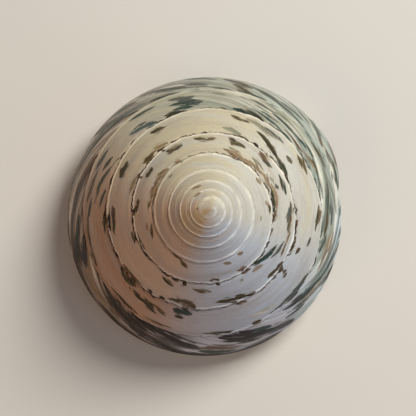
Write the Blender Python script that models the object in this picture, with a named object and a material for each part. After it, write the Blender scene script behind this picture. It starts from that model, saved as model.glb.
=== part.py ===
"""Top shell: a thick, pearly sea snail's shell, standing on its base with the spire up.

The whole shell is one grown piece. Its wall is a spiral sheet, wound clockwise seen from
the spire. The keel is the line round the widest part of each whorl, and the next whorl
is built onto it, so the keel of one turn is the seam (suture) of the next.
Two numbers place a point on the sheet: turn counts the whorls from the tip, and across
runs from 0 at the seam, over the whorl's side, to 1 at the keel, and over the base to 2
on the shell's own axis.
Points are worked out in grids, in mm, as pairs of radius and height.
"""

import math

import bmesh
import bpy
import numpy as np
from mathutils import Matrix, Vector

MM = 0.001

# Keel radius and depth below the tip, in mm, after each whole turn.
KEEL = [
    (0.0, 0.0), (1.35, 0.5), (2.65, 1.3), (4.05, 2.5), (5.75, 4.1), (7.9, 6.4),
    (11.05, 9.6), (15.2, 14.2), (20.3, 20.7), (24.6, 29.0), (28.3, 39.0),
]
TURNS = len(KEEL) - 1
FIRST_TURN = 0.5            # the spiral starts here, at the tip
BLUNT_TURNS = 1.0           # and takes this many turns to open fully
TIP_OFFSET = 0.7            # the tip stands this far off the axis, in mm
TIP_OFFSET_DEPTH = 4.0      # and the spire is straight again at this depth

SIDE_BULGE = 0.055          # how far a whorl's side swells, over its width

# The base from the keel to the rim of the hollow beside the pillar: radius and drop
# below the keel, both over the keel's radius.
BASE = [
    (1.0, 0.0), (0.985, 0.07), (0.93, 0.13), (0.83, 0.162), (0.68, 0.152),
    (0.5, 0.124), (0.34, 0.1), (0.24, 0.08),
]
# The hollow's wall, up to the axis: radius over the rim's, and share of the climb.
HOLLOW = [(0.7, 0.25), (0.36, 0.62), (0.0, 1.0)]
HOLLOW_TOP = 30.5           # depth of the hollow's point on the axis, in mm

WALL = 0.055                # wall thickness over the keel's radius
# The cavity's outline, round from the seam: a place on the wall, and how many wall
# thicknesses inside it. The last points lie on the base of the whorl before.
MOUTH_OUTLINE = [
    (0.2, 0.75), (0.5, 0.5), (0.82, 0.45), (1.06, 0.5), (1.26, 0.5), (1.46, 0.6), (1.62, 1.3),
    (1.58, 1.3), (1.38, 0.45), (1.15, 0.35),
]
DEEP_OUTLINE = [
    (0.45, 1.1), (0.68, 1.0), (0.9, 1.0), (1.1, 1.1), (1.28, 1.1), (1.48, 1.1), (1.64, 1.8),
    (1.6, 1.7), (1.42, 1.0), (1.24, 0.9),
]
OUTER_POINTS = 7
THINNING_TURNS = 0.12       # the mouth's thin lip is full wall this far back
CAVITY_TURNS = 2.25
CLOSING_TURNS = 0.2         # the cavity's far end rounds off over this much
# Where the mouth's rim meets the cavity: across on the rim, position in the outline.
OUTER_MATCH = [
    (0.0, -0.45), (0.3, 0.0), (0.65, 1.0), (0.9, 2.0), (1.1, 3.0), (1.3, 4.0), (1.5, 5.0), (1.7, 6.1),
]
INNER_MATCH = [(1.0, 9.55), (1.22, 9.0), (1.45, 8.0), (1.7, 6.9)]

STEPS = 36                  # columns of faces in one turn
LEAN_STEPS = 3              # the mouth's edge falls back this many columns at the keel
LEAN = LEAN_STEPS / STEPS
BASE_LEAN = 0.1             # and this much further over the base, in turns
INNER_LEAN = 0.06           # the mouth's inner edge falls back less, in turns
SIDE_ROWS = 5
FACE_ROWS = len(BASE) - 1
HOLLOW_ROWS = len(HOLLOW)
BASE_ROWS = FACE_ROWS + HOLLOW_ROWS
PILLAR_COLUMNS = 4
RIM_ROWS = 2
LIP_DEPTH = 0.012           # the rim's rounding reaches this far in, in turns
LIP_SWELL = 0.7 * MM
CORNER_WIDTH = 0.1          # the lip is sharp this near the seam, in across
PILLAR_SWELL = 1.2 * MM
PILLAR_ROUNDING = 0.16      # how far the pillar's front bulges, over its width

LIP_AZIMUTH = math.radians(-20.0)
TIP_AZIMUTH = math.radians(-14.0)
# It stands on the lip and on the far side of the base, so the spire leans.
STANDING_LEAN = math.radians(8.37)
STANDING_LEAN_TOWARD = math.radians(-117.5)

SHARP_EDGE = math.radians(50.0)
NACRE = (0.80, 0.77, 0.70, 1.0)


def blend(points, index, s):
    """Catmull-Rom curve between points[index] and the next, along the first axis."""
    a, b, c, d = (points[(index + i) % len(points)] for i in (-1, 0, 1, 2))
    return 0.5 * (2 * b + (c - a) * s + (2 * a - 5 * b + 4 * c - d) * s ** 2
                  + (3 * b - a - 3 * c + d) * s ** 3)


def through(points, position):
    """Points on the smooth open curve through evenly spaced points."""
    points = np.asarray(points, float)
    before, after = 2 * points[:1] - points[1:2], 2 * points[-1:] - points[-2:-1]
    index = np.clip(np.floor(position).astype(int), 0, len(points) - 2)
    return blend(np.concatenate([before, points, after]), index + 1, (position - index)[..., None])


def ease(share):
    """Smooth step from 0 to 1."""
    share = np.clip(share, 0.0, 1.0)
    return share * share * (3 - 2 * share)


def unit(vectors):
    return vectors / np.maximum(np.linalg.norm(vectors, axis=-1, keepdims=True), 1e-9)


def keel(turn):
    """Radius and height of the keel, with the tip at height 0."""
    opened = ease((turn - FIRST_TURN) / BLUNT_TURNS)[..., None]
    return through(KEEL, np.maximum(turn, 0.0)) * np.array([1.0, -1.0]) * opened


def side(turn, across):
    """A whorl's side, from the seam at 0 to the keel at 1."""
    seam, edge = keel(turn - 1), keel(turn)
    chord = edge - seam
    outward = np.stack([-chord[..., 1], chord[..., 0]], axis=-1)
    share = across[..., None]
    return seam + chord * share + outward * SIDE_BULGE * 4 * share * (1 - share)


def base(turn, inward):
    """The base, from the keel at 0 to the shell's axis at 1."""
    edge = keel(turn)
    radius, height = edge[..., 0], edge[..., 1]
    climb = -HOLLOW_TOP - (height - radius * BASE[-1][1])
    outline = [(radius * r, height - radius * drop) for r, drop in BASE]
    outline += [(outline[-1][0] * r, outline[-1][1] + climb * share) for r, share in HOLLOW]
    points = np.stack([np.stack(point, axis=-1) for point in outline])
    before, after = 2 * points[:1] - points[1:2], 2 * points[-1:] - points[-2:-1]
    points = np.concatenate([before, points, after])
    position = inward * BASE_ROWS
    index = np.clip(np.floor(position).astype(int), 0, BASE_ROWS - 1)
    corners = np.stack([
        np.take_along_axis(points, (index + i)[None, ..., None], axis=0)[0] for i in range(4)
    ])
    return blend(corners, 1, (position - index)[..., None])


def wall(turn, across):
    """The whole outer wall, from the seam at 0 to the axis at 2."""
    upper = side(turn, np.minimum(across, 1.0))
    under = base(turn, np.maximum(across - 1.0, 0.0))
    return np.where((across <= 1)[..., None], upper, under)


def lean(across):
    """How far the growth lines fall back from the seam, in turns."""
    return LEAN * np.minimum(across, 1.0) + BASE_LEAN * ease((across - 1) / 0.6)


def inner_lean(inward):
    """The same along the mouth's inner edge, which lies on the base of the whorl before."""
    return INNER_LEAN * ease(inward / 0.6)


def placed(turn, profile):
    """Points in the shell's own frame, in metres."""
    radius, height = profile[..., 0], profile[..., 1]
    azimuth = LIP_AZIMUTH - 2 * math.pi * (turn - TURNS)
    offset = TIP_OFFSET * np.maximum(0.0, 1 + height / TIP_OFFSET_DEPTH) ** 2
    x = radius * np.cos(azimuth) + offset * math.cos(TIP_AZIMUTH)
    y = radius * np.sin(azimuth) + offset * math.sin(TIP_AZIMUTH)
    return np.stack([x, y, height], axis=-1) * MM


def forward(turn, profile):
    """Direction of growth at these points."""
    step = 0.002
    return unit(placed(turn + step, profile) - placed(turn - step, profile))


def add_sheet(bm, points):
    """Add faces between the points of a grid."""
    vertices = [[bm.verts.new(point) for point in row] for row in points]
    for row, below in zip(vertices, vertices[1:]):
        for i in range(len(row) - 1):
            bm.faces.new((row[i], row[i + 1], below[i + 1], below[i]))


def grid(rows, columns):
    return np.meshgrid(rows, columns, indexing="ij")


def spire():
    """Every whorl's side."""
    growth = np.arange(round(FIRST_TURN * STEPS), TURNS * STEPS + 1) / STEPS
    across, growth = grid(np.linspace(0, 1, SIDE_ROWS + 1), growth)
    turn = growth - lean(across)
    return placed(turn, side(turn, across))


def exposed_base():
    """The last turn's base, from the mouth's inner edge round to its outer lip."""
    inward, share = grid(np.linspace(0, 1, BASE_ROWS + 1),
                         np.linspace(0, 1, STEPS - LEAN_STEPS + 1))
    start = TURNS - 1 - inner_lean(inward)
    end = TURNS - lean(1 + inward)
    turn = start + (end - start) * share
    return placed(turn, base(turn, inward))


def pillar():
    """The pillar's rounded front, between the hollow's two edges, and its growth."""
    inward, share = grid(np.linspace(0, 1, BASE_ROWS + 1)[FACE_ROWS:],
                         np.linspace(0, 1, PILLAR_COLUMNS + 1))
    outer_turn = TURNS - lean(1 + inward)
    inner_turn = TURNS - 1 - inner_lean(inward)
    outer, inner = base(outer_turn, inward), base(inner_turn, inward)
    start, end = placed(outer_turn, outer), placed(inner_turn, inner)
    gap = np.linalg.norm(end - start, axis=-1, keepdims=True)
    growing = unit(forward(outer_turn, outer) + forward(inner_turn, inner))
    bulge = np.sin(math.pi * share)[..., None] * PILLAR_ROUNDING
    return start + (end - start) * share[..., None] + growing * gap * bulge, growing


def cavity(back, position):
    """The cavity's wall at each distance back from the mouth, in turns."""
    deep = ease(back / THINNING_TURNS)
    turn = TURNS - back
    thickness = WALL * keel(turn)[:, :1]
    step = 0.01
    points = []
    for index, (near, far) in enumerate(zip(MOUTH_OUTLINE, DEEP_OUTLINE)):
        across = near[0] + (far[0] - near[0]) * deep
        depth = (near[1] + (far[1] - near[1]) * deep)[:, None]
        outer = index < OUTER_POINTS
        fallback = lean(across) if outer else inner_lean(across - 1)
        own = turn - fallback if outer else turn - 1 - fallback
        along = wall(own, across + step) - wall(own, across - step)
        into = unit(np.stack([along[:, 1], -along[:, 0]], axis=-1)) * (1 if outer else -1)
        points.append(np.hstack([wall(own, across) + into * thickness * depth, fallback[:, None]]))
    points = np.stack(points)
    index = np.floor(position).astype(int)
    ring = blend(points, index, (position - index)[:, None, None])
    closing = np.clip((back - back[-1]) / CLOSING_TURNS + 1, 0.0, 1.0)
    middle = points.mean(axis=0)[None]
    ring = middle + (ring - middle) * np.sqrt(1 - closing ** 2)[None, :, None]
    return placed(turn[None] - ring[..., 2], ring[..., :2])


def mouth(pillar_edge, pillar_growth):
    """The rounded rim, from the seam round the outer lip, the pillar and back, and the cavity."""
    side_rows = np.linspace(0, 1, SIDE_ROWS + 1)
    face_rows = np.linspace(0, 1, BASE_ROWS + 1)[:FACE_ROWS + 1]
    side_turn = TURNS - lean(side_rows)
    face_turn = TURNS - lean(1 + face_rows)
    back_turn = TURNS - 1 - inner_lean(face_rows)
    stretches = [(side_turn, side(side_turn, side_rows)), (face_turn, base(face_turn, face_rows))]
    back_stretch = (back_turn[::-1], base(back_turn, face_rows)[::-1])
    rim = np.concatenate([
        placed(*stretches[0]), placed(*stretches[1])[1:], pillar_edge[1:], placed(*back_stretch)[1:],
    ])
    growth = np.concatenate([
        forward(*stretches[0]), forward(*stretches[1])[1:], pillar_growth[1:],
        forward(*back_stretch)[1:],
    ])
    outer = np.concatenate([side_rows, 1 + face_rows[1:]])
    inner = (1 + face_rows)[::-1][1:]
    position = np.concatenate([
        np.interp(outer, *np.transpose(OUTER_MATCH)),
        np.linspace(OUTER_MATCH[-1][1], INNER_MATCH[-1][1], PILLAR_COLUMNS + 1)[1:],
        np.interp(inner, *np.transpose(INNER_MATCH)),
    ])
    swell = np.concatenate([
        LIP_SWELL * ease(outer / CORNER_WIDTH), np.full(PILLAR_COLUMNS, PILLAR_SWELL),
        np.interp(inner, [1.0, 1.0 + face_rows[-1]], [0.0, PILLAR_SWELL]),
    ])[:, None]
    back = LIP_DEPTH + np.arange(round(CAVITY_TURNS * STEPS) + 1) / STEPS
    inside = cavity(back, position)
    control = (rim + growth * swell + (inside[:, 0] - rim) * 0.3)[:, None]
    s = np.linspace(0, 1, RIM_ROWS + 1)[None, :, None]
    band = rim[:, None] * (1 - s) ** 2 + control * 2 * s * (1 - s) + inside[:, :1] * s ** 2
    return band, inside


def close(bm):
    """Join the sheets into one closed skin of triangles, facing out."""
    bmesh.ops.remove_doubles(bm, verts=bm.verts, dist=0.01 * MM)
    bmesh.ops.triangulate(bm, faces=bm.faces)
    bmesh.ops.recalc_face_normals(bm, faces=bm.faces)


def standing_place(bm):
    """Matrix that stands the shell on the ground, with its box centred on the origin."""
    across = Matrix.Rotation(STANDING_LEAN_TOWARD, 3, "Z") @ Vector((0, 1, 0))
    leaning = Matrix.Rotation(STANDING_LEAN, 4, across)
    corners = np.array([leaning @ vertex.co for vertex in bm.verts])
    low, high = corners.min(axis=0), corners.max(axis=0)
    centre = (low + high) / 2
    return Matrix.Translation((-centre[0], -centre[1], -low[2])) @ leaning


def nacre():
    material = bpy.data.materials.new("nacre")
    material.use_nodes = True
    shader = material.node_tree.nodes["Principled BSDF"]
    shader.inputs["Base Color"].default_value = NACRE
    shader.inputs["Roughness"].default_value = 0.25
    return material


def main():
    for old in list(bpy.data.objects):
        bpy.data.objects.remove(old, do_unlink=True)
    parts = bpy.data.collections.new("top_shell")
    bpy.context.scene.collection.children.link(parts)

    bm = bmesh.new()
    front, growing = pillar()
    rim, inside = mouth(front[0], growing[0])
    for points in (spire(), exposed_base(), front, rim, inside):
        add_sheet(bm, points)
    close(bm)

    mesh = bpy.data.meshes.new("shell")
    bm.to_mesh(mesh)
    bm.free()
    shell = bpy.data.objects.new("shell", mesh)
    parts.objects.link(shell)
    bm = bmesh.new()
    bm.from_mesh(mesh)
    mesh.transform(standing_place(bm))
    bm.free()
    mesh.shade_smooth()
    mesh.set_sharp_from_angle(angle=SHARP_EDGE)
    mesh.materials.append(nacre())


main()
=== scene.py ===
"""Top shell: the detailed visual model, standing on a pale floor and seen from above its spire.

Two numbers place a point on the shell's wall: turn counts the whorls from the tip, and across
runs from 0 at the seam, over the whorl's side, to 1 at the keel, and over the base to 2 on the
shell's own axis. The keel of one turn is the seam of the next.
"""

import math

import bmesh
import bpy
import numpy as np
from mathutils import Matrix, Vector


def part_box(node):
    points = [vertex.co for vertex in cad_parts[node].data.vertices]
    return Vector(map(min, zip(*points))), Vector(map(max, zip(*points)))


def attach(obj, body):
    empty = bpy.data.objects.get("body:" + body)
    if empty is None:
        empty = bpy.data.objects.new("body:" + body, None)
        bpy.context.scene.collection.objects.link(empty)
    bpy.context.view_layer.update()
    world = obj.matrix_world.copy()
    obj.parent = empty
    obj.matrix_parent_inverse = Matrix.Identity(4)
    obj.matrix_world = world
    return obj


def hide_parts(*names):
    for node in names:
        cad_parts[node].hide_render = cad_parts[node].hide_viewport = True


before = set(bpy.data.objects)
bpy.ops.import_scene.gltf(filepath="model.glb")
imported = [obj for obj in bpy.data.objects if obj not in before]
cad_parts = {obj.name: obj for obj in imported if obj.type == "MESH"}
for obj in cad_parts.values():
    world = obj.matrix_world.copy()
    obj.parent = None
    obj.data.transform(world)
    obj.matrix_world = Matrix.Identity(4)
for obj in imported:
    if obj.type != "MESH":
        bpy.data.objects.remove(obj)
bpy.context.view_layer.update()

MM = 0.001
TAU = 2 * math.pi

# Form, as in the CAD: keel radius and depth below the tip, in mm, after each whole turn.
KEEL = [
    (0.0, 0.0), (1.35, 0.5), (2.65, 1.3), (4.05, 2.5), (5.75, 4.1), (7.9, 6.4),
    (11.05, 9.6), (15.2, 14.2), (20.3, 20.7), (24.6, 29.0), (28.3, 39.0),
]
TURNS = len(KEEL) - 1
FIRST_TURN = 0.5
BLUNT_TURNS = 1.0
TIP_OFFSET = 0.7
TIP_OFFSET_DEPTH = 4.0
SIDE_BULGE = 0.055
BASE = [
    (1.0, 0.0), (0.985, 0.07), (0.93, 0.13), (0.83, 0.162), (0.68, 0.152),
    (0.5, 0.124), (0.34, 0.1), (0.24, 0.08),
]
HOLLOW = [(0.7, 0.25), (0.36, 0.62), (0.0, 1.0)]
HOLLOW_TOP = 30.5
HOLLOW_RIM = (len(BASE) - 1) / (len(BASE) + len(HOLLOW) - 1)
WALL = 0.055
LIP_AZIMUTH = math.radians(-20.0)
TIP_AZIMUTH = math.radians(-14.0)
STANDING_LEAN = math.radians(8.37)
STANDING_LEAN_TOWARD = math.radians(-117.5)

# Mesh: columns of faces in one turn, and rows down a whorl's side.
STEPS = 240
LEAN_STEPS = 20
LEAN = LEAN_STEPS / STEPS
BASE_LEAN = 0.1
BASE_CORDS = 18
INNER_LEAN = 0.06
SIDE_ROWS = [
    0.0, 0.013, 0.03, 0.052, 0.08, 0.115, 0.155, 0.2, 0.25, 0.3, 0.35, 0.4, 0.45, 0.5, 0.55,
    0.6, 0.65, 0.7, 0.745, 0.785, 0.82, 0.85, 0.88, 0.905, 0.925, 0.942, 0.957, 0.97, 0.981,
    0.991, 1.0,
]
BASE_FACE_ROWS = 36
HOLLOW_ROWS = 12
PILLAR_COLUMNS = 12
CAVITY_STEPS = 70
CAVITY_TURNS = 1.45


def curve(points, position):
    """Points on the smooth curve through evenly spaced points."""
    points = np.asarray(points, float)
    padded = np.vstack([2 * points[0] - points[1], points, 2 * points[-1] - points[-2]])
    index = np.clip(np.floor(position).astype(int), 0, len(points) - 2)
    s = (position - index)[..., None]
    a, b, c, d = (padded[index + i] for i in range(4))
    return 0.5 * (2 * b + (c - a) * s + (2 * a - 5 * b + 4 * c - d) * s ** 2
                  + (3 * b - a - 3 * c + d) * s ** 3)


def ease(share):
    share = np.clip(share, 0.0, 1.0)
    return share * share * (3 - 2 * share)


def hump(x, centre, half_width):
    """Smooth bump of height 1 that is 0 beyond half_width."""
    return ease(1 - np.abs(x - centre) / half_width)


def unit(vectors):
    return vectors / np.maximum(np.linalg.norm(vectors, axis=-1, keepdims=True), 1e-9)


def keel(turn):
    """Radius and height of the keel, with the tip at height 0."""
    start = ease((turn - FIRST_TURN) / BLUNT_TURNS)[..., None]
    return curve(KEEL, np.maximum(turn, 0.0)) * np.array([1.0, -1.0]) * start


def lean(across):
    """How far the growth lines fall back from the seam, in turns."""
    return LEAN * np.minimum(across, 1.0) + BASE_LEAN * ease((across - 1) / 0.6)


def inner_lean(inward):
    return INNER_LEAN * ease(inward / 0.6)


def slope(turn):
    """Unit vector down the cone's outline at this keel."""
    step = keel(np.minimum(turn + 0.5, TURNS)) - keel(turn - 0.5)
    step = np.where(np.linalg.norm(step, axis=-1, keepdims=True) < 1e-6, [[1.0, 0.0]], step)
    return unit(step)


def width(turn):
    return np.linalg.norm(keel(turn) - keel(turn - 1), axis=-1)


def wobble(x, seed):
    """Smooth irregular wave between about -1 and 1."""
    rng = np.random.default_rng(seed)
    total = np.zeros_like(x)
    for octave in range(4):
        rate = 2.0 ** octave * rng.uniform(0.85, 1.15)
        total += np.sin(TAU * (x * rate + rng.random())) / 1.6 ** octave
    return total / 2.2


def seam_wave(turn):
    """How far the seam strays down the cone, in mm: scallops that the older whorls lack."""
    size = 0.15 * ease((turn - 1.6) / 3.0) + 0.2 * ease((turn - 4.8) / 1.8)
    size = size * (1 - ease((turn - 9.0) / 0.06))
    phase = 45 * turn + 1.3 * wobble(turn * 7, 3)
    scallop = 0.62 - np.abs(np.sin(math.pi * phase))
    return size * (scallop * (0.9 + 0.6 * wobble(turn * 11, 5)) + 0.8 * wobble(turn * 9, 8))


def seam_depth(turn):
    """How deep the groove along the seam is, in mm."""
    return 0.036 * width(turn) * (1 - ease((turn - 9.0) / 0.06)) * ease((turn - 1.5) / 1.5)


def side(turn, across):
    """A whorl's side, from the seam at 0 to the keel at 1, with its ridge and groove."""
    seam, edge = keel(turn - 1), keel(turn)
    chord = edge - seam
    outward = np.stack([-chord[..., 1], chord[..., 0]], axis=-1)
    a = across[..., None]
    point = seam + chord * a + outward * SIDE_BULGE * 4 * a * (1 - a)
    near_seam = ease(1 - across / 0.05)
    near_edge = ease(1 - (1 - across) / 0.03)
    down = unit(slope(turn - 1) * (1 - a) + slope(turn) * a)
    out = np.stack([-down[..., 1], down[..., 0]], axis=-1)
    early = 1 - ease((turn - 4.6) / 2.2)
    ridge = 0.036 * hump(across, 0.95, 0.05) * (1 - early)
    ridge = ridge + 0.07 * hump(across, 0.87, 0.13) * early * (1 + 0.3 * wobble(turn * 7, 6))
    ridge = ridge - 0.01 * (1 - np.cos(TAU * 3 * across)) * early
    ridge = ridge - 0.014 * hump(across, 0.7, 0.2) + 0.012 * hump(across, 0.11, 0.1)
    ridge = ridge * ease((turn - 1.2) / 1.5) * (1 - 0.7 * ease((turn - 9.0) / 0.1))
    lift = ridge * width(turn)
    lift = lift - near_seam * seam_depth(turn - 1) - near_edge * seam_depth(turn)
    shift = ease(1 - across / 0.16) * seam_wave(turn - 1)
    shift = shift + ease(1 - (1 - across) / 0.14) * seam_wave(turn)
    return point + out * lift[..., None] + down * shift[..., None]


def plain_base(turn, inward):
    edge = keel(turn)
    radius, height = edge[..., 0], edge[..., 1]
    outline = [(radius * r, height - radius * drop) for r, drop in BASE]
    rim_radius, rim_height = outline[-1]
    climb = -HOLLOW_TOP - rim_height
    outline += [(rim_radius * r, rim_height + climb * share) for r, share in HOLLOW]
    points = np.stack([np.stack(p, axis=-1) for p in outline])
    position = inward * (len(outline) - 1)
    index = np.clip(np.floor(position).astype(int), 0, len(outline) - 2)
    s = (position - index)[..., None]
    padded = np.concatenate([2 * points[:1] - points[1:2], points, 2 * points[-1:] - points[-2:-1]])
    a, b, c, d = (np.take_along_axis(padded, (index + i)[None, ..., None], 0)[0] for i in range(4))
    return 0.5 * (2 * b + (c - a) * s + (2 * a - 5 * b + 4 * c - d) * s ** 2
                  + (3 * b - a - 3 * c + d) * s ** 3)


def base(turn, inward):
    """The base, from the keel at 0 to the shell's axis at 1, with its low cords."""
    step = 0.004
    point = plain_base(turn, inward)
    along = plain_base(turn, inward + step) - plain_base(turn, inward - step)
    out = unit(np.stack([along[..., 1], -along[..., 0]], axis=-1))
    cords = 0.5 - 0.5 * np.cos(TAU * BASE_CORDS * inward)
    cords = cords * hump(inward, 0.32, 0.3) * 0.13
    edge_shift = side(turn, np.ones_like(turn)) - keel(turn)
    return point + out * cords[..., None] + edge_shift * ease(1 - inward / 0.08)[..., None]


def wall(turn, across):
    flat = np.minimum(across, 1.0)
    outer = side(turn, flat)
    under = base(turn, np.maximum(across - 1, 0.0))
    return np.where((across <= 1)[..., None], outer, under)


def placed(turn, radius_height):
    """Points in the shell's own frame, in metres."""
    radius, height = radius_height[..., 0], radius_height[..., 1]
    azimuth = LIP_AZIMUTH - TAU * (turn - TURNS)
    offset = TIP_OFFSET * np.maximum(0.0, 1 + height / TIP_OFFSET_DEPTH) ** 2
    x = radius * np.cos(azimuth) + offset * math.cos(TIP_AZIMUTH)
    y = radius * np.sin(azimuth) + offset * math.sin(TIP_AZIMUTH)
    return np.stack([x, y, height], axis=-1) * MM


# The cavity's outline: a place on the wall, and how many wall thicknesses inside it.
MOUTH_OUTLINE = [
    (0.2, 0.75), (0.5, 0.5), (0.82, 0.45), (1.06, 0.5), (1.26, 0.5), (1.46, 0.6), (1.62, 1.3),
    (1.58, 1.3), (1.38, 0.45), (1.15, 0.35),
]
DEEP_OUTLINE = [
    (0.45, 1.1), (0.68, 1.0), (0.9, 1.0), (1.1, 1.1), (1.28, 1.1), (1.48, 1.1), (1.64, 1.8),
    (1.6, 1.7), (1.42, 1.0), (1.24, 0.9),
]
OUTER_POINTS = 7
THINNING_TURNS = 0.12
# The mouth's rim matched to the cavity's outline: across on the rim, position in the outline.
OUTER_MATCH = [(0.0, -0.45), (0.3, 0.0), (0.65, 1.0), (0.9, 2.0), (1.1, 3.0), (1.3, 4.0),
               (1.5, 5.0), (1.7, 6.1)]
INNER_MATCH = [(1.0, 9.55), (1.22, 9.0), (1.45, 8.0), (1.7, 6.9)]


def cavity(back, position):
    """Section points (position) at each distance back from the mouth (back, in turns)."""
    deep = ease(back / THINNING_TURNS)
    turn = TURNS - back
    thickness = WALL * keel(turn)[:, :1]
    step = 0.01
    points = []
    for index, (near, far) in enumerate(zip(MOUTH_OUTLINE, DEEP_OUTLINE)):
        across = near[0] + (far[0] - near[0]) * deep
        depth = (near[1] + (far[1] - near[1]) * deep)[:, None]
        if index < OUTER_POINTS:
            fallback, side_sign = lean(across), 1
            own = turn - fallback
        else:
            fallback, side_sign = inner_lean(across - 1), -1
            own = turn - 1 - fallback
        along = wall(own, across + step) - wall(own, across - step)
        into = side_sign * unit(np.stack([along[:, 1], -along[:, 0]], axis=-1))
        points.append(np.hstack([wall(own, across) + into * thickness * depth, fallback[:, None]]))
    points = np.stack(points)
    index = np.floor(position).astype(int)
    s = (position - index)[:, None, None]
    a, b, c, d = (points[(index + i) % len(points)] for i in (-1, 0, 1, 2))
    ring = 0.5 * (2 * b + (c - a) * s + (2 * a - 5 * b + 4 * c - d) * s ** 2
                  + (3 * b - a - 3 * c + d) * s ** 3)
    last = (back - (back[-1] - END_TURNS)) / END_TURNS
    shrink = np.sqrt(1 - np.clip(last, 0.0, 1.0) ** 2)[None, :, None]
    middle = points.mean(axis=0)[None]
    ring = middle + (ring - middle) * shrink
    return ring, turn[None] - ring[..., 2]


END_TURNS = 0.12

# Colours of the markings, and how much of the pearl they hide. The pale cream and ice tones are no
# markings but painted highlights.
TONES = {
    "tan": (0.29, 0.18, 0.085, 0.85),
    "brown": (0.11, 0.052, 0.022, 0.95),
    "dark": (0.025, 0.015, 0.011, 1.0),
    "olive": (0.058, 0.045, 0.016, 1.0),
    "green": (0.018, 0.034, 0.024, 1.0),
    "navy": (0.020, 0.026, 0.042, 1.0),
    "teal": (0.007, 0.043, 0.038, 0.97),
    "slate": (0.035, 0.055, 0.047, 0.93),
    "bluish": (0.045, 0.10, 0.105, 0.93),
    "haze": (0.17, 0.20, 0.14, 0.75),
    "plum": (0.018, 0.011, 0.015, 1.0),
    # Pale cream and ice: painted highlights, where the polished wall catches light.
    "painted_highlight_cream": (0.85, 0.80, 0.66, 0.7),
    "painted_highlight_ice": (0.60, 0.74, 0.73, 0.85),
}
MARK_START = 10             # degrees from the lip's corner to where the marks' angles begin
FAR_FROM_MARKS = -4.0
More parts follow.
